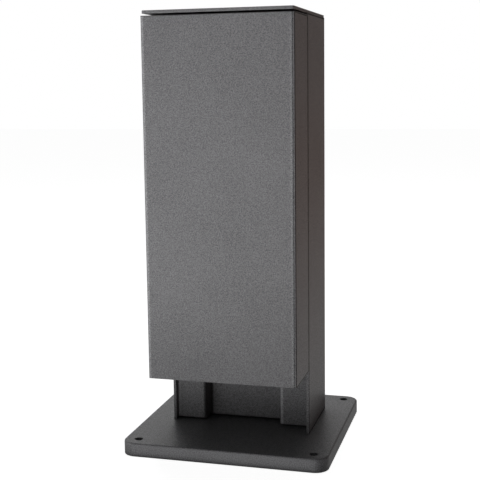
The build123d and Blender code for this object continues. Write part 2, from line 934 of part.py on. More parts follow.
def make_socket_body(height):
    flange = socket_flange_outline(socket_flange, socket_flange_corner)
    body = plate_y(flange, flange_front, flange_back, height)
    body += rod_y(0, height, flange_front, body_back, socket_body_diameter)
    body += rod_y(0, height, collar_front, flange_front + overrun, collar_diameter)
    for side in (-1, 1):
        low, high = sorted((side * ear_inner, side * (ear_inner + ear_width)))
        axis_z = height + lid_axis_rise
        body += rod_x(lid_axis_y, axis_z, low, high, ear_diameter)
        body += block(low, high, lid_axis_y, flange_back, axis_z - ear_drop, axis_z)
    body -= rod_y(0, height, collar_front - overrun, dish_floor, dish_diameter)
    key_edge = dish_diameter / 2 - dish_key_height
    for side in (-1, 1):
        low, high = sorted((side * key_edge, side * (dish_diameter / 2 + contact_wall)))
        body += block(
            low, high, flange_front, dish_floor,
            height - dish_key_width / 2, height + dish_key_width / 2
        )
    for x in (-pin_hole_spacing / 2, pin_hole_spacing / 2):
        body -= rod_y(x, height, dish_floor - overrun, body_back + overrun, pin_hole_diameter)
    clip_outer = earth_clip_outer()
    for side in (-1, 1):
        inner = clip_outer - earth_clip_wall - contact_gap
        low, high = sorted((height + side * inner, height + side * (clip_outer + contact_gap)))
        slot_half = earth_clip_width / 2 + contact_gap
        body -= block(-slot_half, slot_half, dish_floor - overrun, body_back + overrun, low, high)
    hole = socket_screw_hole
    for x, z in socket_screw_places(height):
        body -= rod_y(x, z, flange_front - overrun, flange_back + overrun, hole)
    axis_z = height + lid_axis_rise
    reach = ear_inner + ear_width + overrun
    body -= rod_x(lid_axis_y, axis_z, -reach, reach, lid_pin_diameter)
    return body


def earth_clip_outer():
    return dish_diameter / 2 - earth_clip_margin


def make_socket_contacts(height):
    tail_front = body_back + contact_gap
    tail_back = tail_front + contact_tail_depth
    pieces = []
    for x in (-pin_hole_spacing / 2, pin_hole_spacing / 2):
        sleeve = rod_y(
            x, height, dish_floor + overrun, tail_front + contact_wall, contact_sleeve_diameter
        )
        sleeve -= rod_y(
            x, height, dish_floor, body_back - contact_wall, contact_sleeve_diameter - 2 * contact_wall
        )
        pieces.append(sleeve + contact_tail(x, height, tail_front, tail_back))
    outer = earth_clip_outer()
    strap = block(
        -earth_clip_width / 2, earth_clip_width / 2, tail_front,
        tail_front + earth_clip_wall, height - outer, height + outer
    )
    for side in (-1, 1):
        low, high = sorted((height + side * (outer - earth_clip_wall), height + side * outer))
        strap += block(
            -earth_clip_width / 2, earth_clip_width / 2,
            flange_front, tail_front + earth_clip_wall, low, high
        )
        inner = outer - earth_clip_wall - earth_clip_bulge
        low, high = sorted((height + side * inner, height + side * outer))
        bulge_middle = (flange_front + dish_floor) / 2
        strap += block(
            -earth_clip_width / 2,
            earth_clip_width / 2,
            bulge_middle - earth_clip_bulge,
            bulge_middle + earth_clip_bulge,
            low,
            high,
        )
    pieces.append(strap + contact_tail(0, height, tail_front, tail_back))
    return group(pieces)


def contact_tail(x, height, front, back):
    """Clamp block with the wire hole down through it."""
    tail_half = contact_tail_width / 2
    tall_half = contact_tail_height / 2
    tail = block(x - tail_half, x + tail_half, front, back, height - tall_half, height + tall_half)
    middle = (front + back) / 2
    tail -= rod_z(x, middle, height - tall_half - overrun, height + tall_half + overrun, terminal_bore)
    return tail


def make_rear_cover(height):
    back = body_back + rear_cover_depth
    cover = rod_y(0, height, body_back, back, socket_body_diameter)
    cover = fillet(cover.edges().sort_by(Axis.Y)[-1], rear_cover_wall)
    inner = socket_body_diameter - 2 * rear_cover_wall
    cover -= rod_y(0, height, body_back - overrun, back - rear_cover_wall, inner)
    reach = socket_body_diameter
    notch_half = rear_cover_notch / 2
    cover -= block(
        -notch_half, notch_half, body_back - overrun,
        back - rear_cover_wall, height - reach, height + reach
    )
    return cover


def make_flange_seal(height):
    outline = socket_flange_outline(
        socket_flange - 2 * socket_seal_margin, socket_flange_corner - socket_seal_margin
    )
    seal = plate_y(outline, flange_back, recess_face, height)
    seal -= rod_y(0, height, flange_back - overrun, recess_face + overrun, socket_body_diameter)
    for x, z in socket_screw_places(height):
        seal -= rod_y(x, z, flange_back - overrun, recess_face + overrun, socket_screw_hole)
    return seal


def make_socket_screws():
    screws = []
    for height in socket_heights:
        for x, z in socket_screw_places(height):
            screws.append(Pos(x, flange_front, z) * Rot(90, 0, 0) * small_screw())
    return group(screws)


def make_lid_pins():
    reach = ear_inner + ear_width
    pins = []
    for height in socket_heights:
        pins.append(rod_x(lid_axis_y, height + lid_axis_rise, -reach, reach, lid_pin_diameter))
    return group(pins)


def make_lid(height):
    half = socket_flange / 2
    axis_z = height + lid_axis_rise
    bottom = height - half
    top = axis_z + lid_top_rise
    shell = block(-half, half, lid_front, lid_skirt_back, bottom, top)
    shell = fillet(shell.edges().filter_by(Axis.Y), lid_corner_radius)
    shell = fillet(shell.faces().sort_by(Axis.Y)[0].edges(), lid_front_round)
    inner_half = half - lid_skirt_wall
    hollow = block(
        -inner_half, inner_half, lid_inner_face, lid_skirt_back + overrun,
        bottom + lid_skirt_wall, top + overrun
    )
    hollow = fillet(
        hollow.edges().filter_by(Axis.Y).group_by(Axis.Z)[0], lid_corner_radius - lid_skirt_wall
    )
    lid = shell - hollow
    skirt_top = axis_z - ear_drop - ear_gap
    lid -= block(
        -half - overrun, half + overrun, lid_inner_face,
        lid_skirt_back + overrun, skirt_top, top + overrun
    )
    panel_half = half - lid_panel_margin
    panel = block(
        -panel_half,
        panel_half,
        lid_front - overrun,
        lid_front + lid_panel_depth,
        bottom + lid_panel_margin,
        top - lid_panel_margin,
    )
    lid -= fillet(panel.edges().filter_by(Axis.Y), lid_corner_radius - lid_skirt_wall)
    lip = block(
        -lid_lip_width / 2,
        lid_lip_width / 2,
        lid_front + lid_front_round,
        lid_front + lid_front_round + lid_lip_depth,
        bottom - lid_lip_height,
        bottom + lid_skirt_wall / 2,
    )
    lid += fillet(lip.edges().filter_by(Axis.Y).group_by(Axis.Z)[0], lid_lip_height / 2)
    for side in (-1, 1):
        low, high = sorted((side * lid_barrel_inner, side * (ear_inner - ear_gap)))
        lid += rod_x(lid_axis_y, axis_z, low, high, lid_barrel_diameter)
        lid += block(
            low, high, lid_inner_face - lid_plate / 2, lid_axis_y,
            axis_z - lid_barrel_diameter / 2, axis_z
        )
    bore = lid_pin_diameter + 2 * lid_running_clearance
    lid -= rod_x(lid_axis_y, axis_z, -ear_inner, ear_inner, bore)
    return lid


def make_lid_seal(height):
    back = lid_inner_face + lid_seal_thickness
    outer = collar_diameter
    seal = rod_y(0, height, lid_inner_face, back, outer)
    return seal - rod_y(0, height, lid_inner_face - overrun, back + overrun, outer - 2 * lid_seal_width)


def make_lid_spring(height):
    outer = spring_inner_diameter + 2 * spring_wall
    middle = (spring_inner_diameter + spring_wall) / 2
    axis_z = height + lid_axis_rise
    half = spring_length / 2
    coil = rod_x(lid_axis_y, axis_z, -half, half, outer)
    coil -= rod_x(lid_axis_y, axis_z, -half - overrun, half + overrun, spring_inner_diameter)
    leg_x = half - spring_wall / 2
    coil += rod_z(-leg_x, lid_axis_y + middle, axis_z - spring_leg, axis_z, spring_leg_diameter)
    coil += rod_z(leg_x, lid_axis_y - middle, axis_z - spring_leg, axis_z, spring_leg_diameter)
    return coil


def wire(points, radius):
    path = FilletPolyline(*points, radius=radius)
    section = Plane(origin=path @ 0, z_dir=path % 0) * Circle(wire_diameter / 2)
    return sweep(section, path=path)


def make_wires(x_contact, x_terminal):
    """One conductor: terminal block to the lowest socket, then socket to socket."""
    contact_middle = body_back + contact_gap + contact_tail_depth / 2
    terminal_middle = recess_back + terminal_sleeve_back
    tail = contact_tail_height / 2
    pieces = []
    start = terminal_bottom + terminal_height - contact_tail_height
    end = socket_heights[0] - tail / 2
    low_turn = start + (end - start) * first_turn_share
    high_turn = start + (end - start) * second_turn_share
    route = [
        (x_terminal, terminal_middle, start),
        (x_terminal, terminal_middle, low_turn),
        (x_contact, contact_middle, high_turn),
        (x_contact, contact_middle, end),
    ]
    pieces.append(wire(route, wire_bow))
    for lower, upper in zip(socket_heights[:-1], socket_heights[1:]):
        start = lower + tail / 2
        end = upper - tail / 2
        length = end - start
        bowed = contact_middle + wire_bow
        route = [
            (x_contact, contact_middle, start),
            (x_contact, contact_middle, start + length * loop_share),
            (x_contact, bowed, start + length / 2),
            (x_contact, contact_middle, end - length * loop_share),
            (x_contact, contact_middle, end),
        ]
        pieces.append(wire(route, wire_loop_radius))
    return pieces


def make_earth_wires():
    pieces = make_wires(0, 0)
    lug = rod_y(
        earth_stud_x, earth_stud_height, recess_back,
        recess_back + earth_lug_thickness, earth_lug_diameter
    )
    hole = m4_diameter + 2 * m4_thread_gap
    lug -= rod_y(earth_stud_x, earth_stud_height, recess_back - overrun, recess_back + overrun, hole)
    pieces.append(lug)
    return group(pieces)


def make_parts():
    parts = {
        "base_plate": make_base(),
        "post_shell": make_shell(),
        "top_cap": make_cap(),
        "cap_screws": make_cap_screws(),
        "foot_screws": make_foot_screws(),
        "foot_nuts": make_foot_nuts(),
        "mounting_tray": make_tray(),
        "tray_rail_left": make_rail(-1),
        "tray_rail_right": make_rail(1),
        "tray_screws": make_tray_screws(),
        "rivet_nuts": make_rivet_nuts(),
        "door_panel": make_door(),
        "door_lug_lower": make_lug(pivot_lower_height),
        "door_lug_upper": make_lug(pivot_upper_height),
        "strike_plate": make_strike(),
        "hinge_bracket_lower": make_bracket(pivot_lower_height),
        "hinge_bracket_upper": make_bracket(pivot_upper_height),
        "hinge_pins": make_pivot_pins(),
        "hinge_washers": make_pivot_washers(),
        "hinge_screws": make_hinge_screws(),
        "catch_housing": make_catch_housing(),
        "catch_magnet": make_magnet(),
        "catch_screws": make_catch_screws(),
        "gland_body": make_gland_body(),
        "gland_locknut": make_gland_locknut(),
        "gland_seal": make_gland_seal(),
        "gland_nut": make_gland_nut(),
        "terminal_block": make_terminal_block(),
        "terminal_sleeves": make_terminal_sleeves(),
        "terminal_screws": make_terminal_screws(),
        "terminal_fixings": make_terminal_fixings(),
        "earth_stud": make_earth_stud(),
        "earth_nut": make_earth_nut(),
        "live_wires": group(make_wires(-pin_hole_spacing / 2, -terminal_pitch)),
        "neutral_wires": group(make_wires(pin_hole_spacing / 2, terminal_pitch)),
        "earth_wires": make_earth_wires(),
        "socket_screws": make_socket_screws(),
        "socket_flange_seals": group(make_flange_seal(height) for height in socket_heights),
        "socket_rear_covers": group(make_rear_cover(height) for height in socket_heights),
        "lid_pins": make_lid_pins(),
    }
    for number, height in enumerate(socket_heights, start=1):
        parts[f"socket_body_{number}"] = make_socket_body(height)
        parts[f"socket_contacts_{number}"] = make_socket_contacts(height)
        parts[f"socket_lid_{number}"] = make_lid(height)
        parts[f"lid_seal_{number}"] = make_lid_seal(height)
        parts[f"lid_spring_{number}"] = make_lid_spring(height)
    return parts


os.makedirs("parts", exist_ok=True)
for name, shape in make_parts().items():
    export_step(shape, f"parts/{name}.step")
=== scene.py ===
import bpy
import bmesh
import json
import math
from mathutils import Matrix, Vector


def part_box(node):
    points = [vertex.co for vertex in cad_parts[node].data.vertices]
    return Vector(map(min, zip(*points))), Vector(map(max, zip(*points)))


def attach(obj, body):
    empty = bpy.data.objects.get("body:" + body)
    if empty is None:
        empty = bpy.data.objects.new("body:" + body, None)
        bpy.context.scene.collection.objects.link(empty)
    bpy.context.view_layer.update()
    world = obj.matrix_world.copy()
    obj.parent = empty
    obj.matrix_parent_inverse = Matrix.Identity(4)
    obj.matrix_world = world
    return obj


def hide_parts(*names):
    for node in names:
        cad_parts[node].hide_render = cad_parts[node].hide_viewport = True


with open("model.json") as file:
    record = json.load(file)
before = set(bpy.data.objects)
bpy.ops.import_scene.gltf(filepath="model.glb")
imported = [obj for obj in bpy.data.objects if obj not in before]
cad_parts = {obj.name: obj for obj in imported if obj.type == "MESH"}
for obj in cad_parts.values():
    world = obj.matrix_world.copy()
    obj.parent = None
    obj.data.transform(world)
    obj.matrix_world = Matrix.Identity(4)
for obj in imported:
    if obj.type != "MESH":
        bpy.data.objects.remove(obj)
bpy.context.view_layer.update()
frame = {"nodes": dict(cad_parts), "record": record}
nodes = frame["nodes"]
record = frame["record"]
mm = 0.001  # the scene is in metres
white = (1.0, 1.0, 1.0)
print("frame loaded:", len(nodes), "nodes")


# camera, set to the photograph's angle
cameraSet = {
    "place": (0.27203, -0.99821, 0.36936),
    "yaw": 15.502,
    "pitch": -7.189,
    "roll": -0.728,
    "lens": 74.89,
    "sensor": 36.0,
    "shiftY": -0.0625,
}


def makeCamera(look):
    data = bpy.data.cameras.new("photoCamera")
    data.lens = look["lens"]
    data.sensor_width = look["sensor"]
    data.shift_y = look["shiftY"]
    camera = bpy.data.objects.new("photoCamera", data)
    bpy.context.scene.collection.objects.link(camera)
    turn = Matrix.Rotation(math.radians(look["yaw"]), 4, "Z")
    tip = Matrix.Rotation(math.radians(90 + look["pitch"]), 4, "X")
    lean = Matrix.Rotation(math.radians(look["roll"]), 4, "Z")
    camera.matrix_world = Matrix.Translation(look["place"]) @ turn @ tip @ lean
    bpy.context.scene.camera = camera


makeCamera(cameraSet)


# node graph helpers, for materials and for the world
class Graph:
    def __init__(self, owner, outKind="ShaderNodeOutputMaterial"):
        owner.use_nodes = True
        self.tree = owner.node_tree
        self.tree.nodes.clear()
        self.out = self.add(outKind)
        self.coords = self.add("ShaderNodeTexCoord")
        self.place = self.coords.outputs["Object"]

    def add(self, kind, **values):
        node = self.tree.nodes.new(kind)
        for name, value in values.items():
            setattr(node, name, value)
        return node

    def link(self, source, target):
        self.tree.links.new(source, target)

    def fill(self, socket, value):
        # links another node's output, or sets a plain number
        if hasattr(value, "node"):
            self.link(value, socket)
        else:
            socket.default_value = value

    def noise(self, scale, detail=2.0, rough=0.5, place=None):
        node = self.add("ShaderNodeTexNoise")
        node.inputs["Scale"].default_value = scale
        node.inputs["Detail"].default_value = detail
        node.inputs["Roughness"].default_value = rough
        self.link(place or self.place, node.inputs["Vector"])
        return node.outputs["Fac"]

    def stretched(self, scale):
        node = self.add("ShaderNodeMapping")
        node.inputs["Scale"].default_value = scale
        self.link(self.place, node.inputs["Vector"])
        return node.outputs["Vector"]

    def rightward(self, vector):
        # how far the vector reaches to the right
        node = self.add("ShaderNodeSeparateXYZ")
        self.link(vector, node.inputs["Vector"])
        return node.outputs["X"]

    def spread(self, value, low, high, fromLow=0.3, fromHigh=0.7):
        node = self.add("ShaderNodeMapRange", clamp=True)
        node.inputs["From Min"].default_value = fromLow
        node.inputs["From Max"].default_value = fromHigh
        node.inputs["To Min"].default_value = low
        node.inputs["To Max"].default_value = high
        self.link(value, node.inputs["Value"])
        return node.outputs["Result"]

    def sums(self, operation, first, second):
        node = self.add("ShaderNodeMath", operation=operation)
        self.fill(node.inputs[0], first)
        self.fill(node.inputs[1], second)
        return node.outputs["Value"]

    def times(self, colour, tone):
        # tone 0.5 leaves the colour as it is, 1 doubles it
        node = self.add("ShaderNodeVectorMath", operation="MULTIPLY")
        self.link(colour, node.inputs[0])
        self.link(tone, node.inputs[1])
        double = self.add("ShaderNodeVectorMath", operation="SCALE")
        double.inputs["Scale"].default_value = 2.0
        self.link(node.outputs["Vector"], double.inputs[0])
        return double.outputs["Vector"]

    def blend(self, value, dark, light):
        # sockets 6 and 7 are the two colours of a colour mix
        node = self.add("ShaderNodeMix", data_type="RGBA")
        for socket, colour in ((node.inputs[6], dark), (node.inputs[7], light)):
            self.fill(socket, colour if hasattr(colour, "node") else (*colour, 1.0))
        self.link(value, node.inputs["Factor"])
        return node.outputs[2]

    def bump(self, height, depth, strength, over=None):
        node = self.add("ShaderNodeBump")
        node.inputs["Strength"].default_value = strength
        node.inputs["Distance"].default_value = depth
        self.link(height, node.inputs["Height"])
        if over is not None:
            self.link(over, node.inputs["Normal"])
        return node.outputs["Normal"]

    def softened(self, radius, samples=6):
        # the surface's normal, rounded over edges nearer than the radius
        node = self.add("ShaderNodeBevel", samples=samples)
        node.inputs["Radius"].default_value = radius
        return node.outputs["Normal"]

    def rim(self, soft, flat, sharp):
        # 0 on flats, rising to 1 where two faces meet
        geometry = self.add("ShaderNodeNewGeometry")
        node = self.add("ShaderNodeVectorMath", operation="DOT_PRODUCT")
        self.link(soft, node.inputs[0])
        self.link(geometry.outputs["True Normal"], node.inputs[1])
        return self.spread(node.outputs["Value"], 1.0, 0.0, sharp, flat)

    def sideways(self, soft, stops):
        # a painted light tone by how far the softened normal turns: left 0, level 0.5, right 1
        node = self.add("ShaderNodeValToRGB")
        ramp = node.color_ramp
        while len(ramp.elements) < len(stops):
            ramp.elements.new(1.0)
        for element, (place, tone) in zip(ramp.elements, stops):
            element.position = place
            element.color = (tone, tone, tone, 1.0)
        self.link(self.spread(self.rightward(soft), 0.0, 1.0, -1.0, 1.0), node.inputs["Fac"])
        return node.outputs["Color"]

    def rays(self):
        # rays from the camera, and rays that mirrors and glass send on
        path = self.add("ShaderNodeLightPath").outputs
        mirrored = self.sums("MAXIMUM", path["Is Glossy Ray"], path["Is Transmission Ray"])
        return path["Is Camera Ray"], mirrored

    def shader(self, values, colour, rough, normal):
        node = self.add("ShaderNodeBsdfPrincipled")
        for name, value in values.items():
            node.inputs[name].default_value = value
        self.link(colour, node.inputs["Base Color"])
        self.link(rough, node.inputs["Roughness"])
        self.link(normal, node.inputs["Normal"])
        self.link(node.outputs["BSDF"], self.out.inputs["Surface"])
        return node


def newGraph(name):
    material = bpy.data.materials.new(name)
    return material, Graph(material)


# anthracite powder coat with a fine gritty texture
powderSet = {
    "dark": (0.074, 0.074, 0.078),
    "light": (0.216, 0.215, 0.223),
    "paintedEdgeHighlight": (0.33, 0.33, 0.335),  # painted highlight along edges, standing in for the light they catch
    "grit": (950.0, 3.0, 0.6),  # scale, detail and roughness of the noise
    "gritShare": 0.6,
    "fine": (2100.0, 2.0, 0.5),
    "fineShare": 0.4,
    "cloud": (11.0, 3.0, 0.55),
    "drift": 0.1,
    "toneSpan": (0.405, 0.595),
    "depth": 0.00016,
    "strength": 0.9,
    "roughLow": 0.38,
    "roughHigh": 0.5,
    "roughSpan": (0.35, 0.65),
    "shine": 0.42,
    "edge": 0.0008,
    "edgeHighlightShare": 0.4,
    "flat": 0.995,
    "sharp": 0.75,
    "fold": 0.0045,
    "foldSamples": 16,
}

# painted shade and painted highlights along the folds and seams of the sheets, in place of their
# reflections and shadows:
# place by how far the softened normal turns, then tone
paintedSheetLight = {
    # door: painted dark and light lines on both side folds, as the bends' reflections
    "door_panel": (
        (0.0, 0.5), (0.14, 0.5), (0.15, 0.14), (0.22, 0.14), (0.27, 0.9),
        (0.484, 0.9), (0.495, 0.5), (0.525, 0.5), (0.535, 0.02), (0.61, 0.02),
        (0.66, 0.62), (0.84, 0.55), (0.87, 0.05), (0.975, 0.05), (0.9875, 0.5),
    ),
    # shell: painted shade along the right-turning folds and the seam by the door
    "post_shell": (
        (0.0, 0.5), (0.85, 0.5), (0.87, 0.02), (0.9775, 0.02), (0.9875, 0.5),
    ),
    # tray: painted highlight on left-turning bends, painted shade on right-turning bends and
    # faces
    "mounting_tray": (
        (0.0, 0.5), (0.1, 0.5), (0.15, 1.0), (0.44, 1.0), (0.49, 0.5),
        (0.52, 0.5), (0.56, 0.14), (0.97, 0.14), (1.0, 0.25),
    ),
}


def powderCoat(name, look, tones=None):
    material, graph = newGraph(name)
    grit = graph.sums("MULTIPLY", graph.noise(*look["grit"]), look["gritShare"])
    fine = graph.sums("MULTIPLY", graph.noise(*look["fine"]), look["fineShare"])
    mixed = graph.sums("ADD", grit, fine)
    cloud = graph.sums("SUBTRACT", graph.noise(*look["cloud"]), 0.5)
    tinted = graph.sums("ADD", mixed, graph.sums("MULTIPLY", cloud, look["drift"]))
    share = graph.spread(tinted, 0.0, 1.0, *look["toneSpan"])
    colour = graph.blend(share, look["dark"], look["light"])
    soft = graph.softened(look["edge"])
    # painted highlight: a lighter colour mixed in along sharp edges
    paintedEdgeHighlight = graph.sums("MULTIPLY", graph.rim(soft, look["flat"], look["sharp"]), look["edgeHighlightShare"])
    colour = graph.blend(paintedEdgeHighlight, colour, look["paintedEdgeHighlight"])
    # painted shade and highlights along folds and seams, multiplied into the colour
    if tones:
        tone = graph.sideways(graph.softened(look["fold"], look["foldSamples"]), tones)
        colour = graph.times(colour, tone)
    rough = graph.spread(mixed, look["roughHigh"], look["roughLow"], *look["roughSpan"])
    normal = graph.bump(mixed, look["depth"], look["strength"], soft)
    values = {"Metallic": 0.0, "Specular IOR Level": look["shine"]}
    surface = graph.shader(values, colour, rough, normal)
    if tones:
        level = graph.sums("MULTIPLY", tone, look["shine"] * 2)  # the painted tone scales the shine too: tone 0.5 keeps it
        graph.link(level, surface.inputs["Specular IOR Level"])
    return material


# zinc plated or stainless metal, with a fine rolled grain
metalSets = {
    "zinc_steel": {
        "dark": (0.46, 0.46, 0.45), "light": (0.62, 0.62, 0.60),
        "grain": (60, 60, 900), "rough": 0.38,
    },
    "screw_steel": {
        "dark": (0.42, 0.42, 0.43), "light": (0.60, 0.60, 0.61),
        "grain": (700, 700, 700), "rough": 0.3,
    },
    "spring_steel": {
        "dark": (0.5, 0.5, 0.52), "light": (0.68, 0.68, 0.7),
        "grain": (900, 900, 900), "rough": 0.24,
    },
    "contact_brass": {
        "dark": (0.58, 0.40, 0.14), "light": (0.76, 0.56, 0.24),
        "grain": (500, 500, 500), "rough": 0.32,
    },
    "magnet_metal": {
        "dark": (0.36, 0.36, 0.37), "light": (0.50, 0.50, 0.50),
        "grain": (900, 300, 300), "rough": 0.42,
    },
}
metalSkin = {
    "grainNoise": (1.0, 4.0, 0.6),
    "cloud": (45.0, 3.0),
    "smoother": 0.08,
    "rougher": 0.12,
    "edge": 0.0004,
    "depth": 0.00004,
    "strength": 0.6,
}


def bareMetal(name, look, skin):
    material, graph = newGraph(name)
    grain = graph.noise(*skin["grainNoise"], graph.stretched(look["grain"]))
    cloud = graph.noise(*skin["cloud"])
    colour = graph.blend(graph.spread(cloud, 0.0, 1.0), look["dark"], look["light"])
    rough = graph.spread(grain, look["rough"] - skin["smoother"], look["rough"] + skin["rougher"])
    normal = graph.bump(grain, skin["depth"], skin["strength"], graph.softened(skin["edge"]))
    graph.shader({"Metallic": 1.0}, colour, rough, normal)
    return material


# moulded plastics and rubber, with a spark-eroded skin
plasticSets = {
    "socket_plastic": {
        "dark": (0.026, 0.026, 0.028), "light": (0.04, 0.04, 0.043),
        "grain": 2400.0, "rough": 0.46,
    },
    "lid_plastic": {
        "dark": (0.045, 0.046, 0.049), "light": (0.062, 0.063, 0.067),
        "grain": 1900.0, "rough": 0.5,
    },
    "seal_rubber": {
        "dark": (0.014, 0.014, 0.014), "light": (0.024, 0.024, 0.024),
        "grain": 900.0, "rough": 0.72,
    },
    "cover_plastic": {
        "dark": (0.17, 0.175, 0.18), "light": (0.23, 0.235, 0.24),
        "grain": 1500.0, "rough": 0.5,
    },
    "gland_plastic": {
        "dark": (0.26, 0.265, 0.27), "light": (0.34, 0.345, 0.35),
        "grain": 1500.0, "rough": 0.45,
    },
    "terminal_plastic": {
        "dark": (0.6, 0.58, 0.53), "light": (0.7, 0.68, 0.62),
        "grain": 1200.0, "rough": 0.4,
    },
    "wire_brown": {
        "dark": (0.09, 0.035, 0.018), "light": (0.14, 0.06, 0.03),
        "grain": 800.0, "rough": 0.42,
    },
    "wire_blue": {
        "dark": (0.02, 0.07, 0.26), "light": (0.03, 0.1, 0.36),
        "grain": 800.0, "rough": 0.42,
    },
}
plasticSkin = {
    "grainNoise": (2.0, 0.6),  # detail and roughness
    "cloud": (30.0, 3.0),
    "smoother": 0.07,
    "rougher": 0.09,
    "edge": 0.0005,
    "depth": 0.00005,
    "strength": 0.7,
}


def mouldedPlastic(name, look, skin):
    material, graph = newGraph(name)
    grain = graph.noise(look["grain"], *skin["grainNoise"])
    cloud = graph.noise(*skin["cloud"])
    colour = graph.blend(graph.spread(cloud, 0.0, 1.0), look["dark"], look["light"])
    rough = graph.spread(grain, look["rough"] - skin["smoother"], look["rough"] + skin["rougher"])
    normal = graph.bump(grain, skin["depth"], skin["strength"], graph.softened(skin["edge"]))
    graph.shader({"Metallic": 0.0}, colour, rough, normal)
    return material


# earth wire: yellow bands that wind round green
earthSet = {
    "green": (0.03, 0.22, 0.04),
    "yellow": (0.75, 0.6, 0.04),
    "turns": 260.0,
    "bandSpan": (0.45, 0.55),
    "grain": 800.0,
    "roughLow": 0.37,
    "roughHigh": 0.5,
    "depth": 0.00003,
    "strength": 0.5,
}


def earthWire(name, look):
    material, graph = newGraph(name)
    wave = graph.add("ShaderNodeTexWave", wave_type="BANDS", bands_direction="DIAGONAL")
    wave.inputs["Scale"].default_value = look["turns"]
    graph.link(graph.place, wave.inputs["Vector"])
    band = graph.spread(wave.outputs["Fac"], 0.0, 1.0, *look["bandSpan"])
    colour = graph.blend(band, look["green"], look["yellow"])
    grain = graph.noise(look["grain"])
    rough = graph.spread(grain, look["roughLow"], look["roughHigh"])
    normal = graph.bump(grain, look["depth"], look["strength"])
    graph.shader({"Metallic": 0.0}, colour, rough, normal)
    return material


finishes = {
    "powder_coat": powderCoat("powder_coat", powderSet),
    "wire_green_yellow": earthWire("wire_green_yellow", earthSet),
}
for slotName, slotLook in metalSets.items():
    finishes[slotName] = bareMetal(slotName, slotLook, metalSkin)
for slotName, slotLook in plasticSets.items():
    finishes[slotName] = mouldedPlastic(slotName, slotLook, plasticSkin)
for part in record["subparts"]:
    cadMesh = nodes[part["node"]].data
    cadMesh.materials.clear()
    cadMesh.materials.append(finishes[part["material_slot"]])
# lit and shaded copies of the powder coat: each sheet gets its painted fold shade and highlights
for sheet, tones in paintedSheetLight.items():
    nodes[sheet].data.materials[0] = powderCoat("powder_coat_" + sheet, powderSet, tones)
print("finishes:", len(finishes))


# mesh helpers for the added pieces
def meshPiece(name, points, faces, slot, body):
    mesh = bpy.data.meshes.new(name)
    mesh.from_pydata(points, [], faces)
    mesh.update()
    clean = bmesh.new()
    clean.from_mesh(mesh)
    bmesh.ops.recalc_face_normals(clean, faces=clean.faces)
    clean.to_mesh(mesh)
    clean.free()
    mesh.polygons.foreach_set("use_smooth", [True] * len(mesh.polygons))
    piece = bpy.data.objects.new(name, mesh)
    bpy.context.scene.collection.objects.link(piece)
    mesh.materials.append(finishes[slot])
    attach(piece, body)
    return piece


def joined(shells):
    # several closed shells as one point list and one face list
    points, faces = [], []
    for shellPoints, shellFaces in shells:
        start = len(points)
        points += shellPoints
        faces += [tuple(start + index for index in face) for face in shellFaces]
    return points, faces


def tube(path, radii, sides):
    # round bar through the path, closed at both ends
    path = [Vector(point) for point in path]
    last = len(path) - 1
    points, faces = [], []
    along = (path[1] - path[0]).normalized()
    across = along.orthogonal().normalized()
    for index, centre in enumerate(path):
        along = (path[min(index + 1, last)] - path[max(index - 1, 0)]).normalized()
        across = (across - along * across.dot(along)).normalized()
        other = along.cross(across)
        for side in range(sides):
            angle = 2 * math.pi * side / sides
            spoke = math.cos(angle) * across + math.sin(angle) * other
            points.append(tuple(centre + radii[index] * spoke))
    for ring in range(last):
        for side in range(sides):
            near, far = ring * sides + side, ring * sides + (side + 1) % sides
            faces.append((near, far, far + sides, near + sides))
    faces.append(tuple(reversed(range(sides))))
    faces.append(tuple(range(last * sides, len(path) * sides)))
    return points, faces


socketCentres = {}
for number in (1, 2, 3, 4):
    sealLow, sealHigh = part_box(f"lid_seal_{number}")
    socketCentres[number] = (sealLow.z + sealHigh.z) / 2


# lid springs: coils of round wire with a leg on each side
springSet = {
    "wire": 0.4 * mm,  # half the wire's thickness
    "mean": 2.2 * mm,
    "turns": 8.5,
    "steps": 22,
    "coilShare": 0.94,
    "leg": 3.4 * mm,
    "legSteps": 6,
    "sides": 10,
}


def makeSpring(number, look):
    low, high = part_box(f"lid_spring_{number}")
    outer = look["mean"] + look["wire"]
    axisY, axisZ = (low.y + high.y) / 2, high.z - outer
    half = (high.x - low.x) / 2 * look["coilShare"] - look["wire"]
    steps = int(look["turns"] * look["steps"])
    coil = []
    for step in range(steps + 1):
        angle = 2 * math.pi * look["turns"] * step / steps
        y = axisY + look["mean"] * math.cos(angle)
        z = axisZ + look["mean"] * math.sin(angle)
        coil.append((half * (2 * step / steps - 1), y, z))
    drops = [step * look["leg"] / look["legSteps"] for step in range(look["legSteps"], 0, -1)]
    first = [(coil[0][0], coil[0][1], axisZ - drop) for drop in drops]
    last = [(coil[-1][0], coil[-1][1], axisZ - drop) for drop in reversed(drops)]
    path = first + coil + last
    points, faces = tube(path, [look["wire"]] * len(path), look["sides"])
    spring = meshPiece(f"lidSpring_{number}", points, faces, "spring_steel", "post")
    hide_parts(f"lid_spring_{number}")


# finger ribs moulded in the lids' sunken panels
ribSet = {
    "count": 5,
    "half": 10.0 * mm,
    "pitch": 1.9 * mm,
    "proud": 0.42 * mm,
    "width": 0.55 * mm,
    "sunk": 0.5 * mm,  # the panel behind the lid's face
    "lidHalf": 25.0 * mm,
    "rise": 8.2 * mm,  # from the lid's lower edge to the first rib
    "steps": 8,
    "taper": 8,
    "tip": 0.35,
    "sides": 12,
}


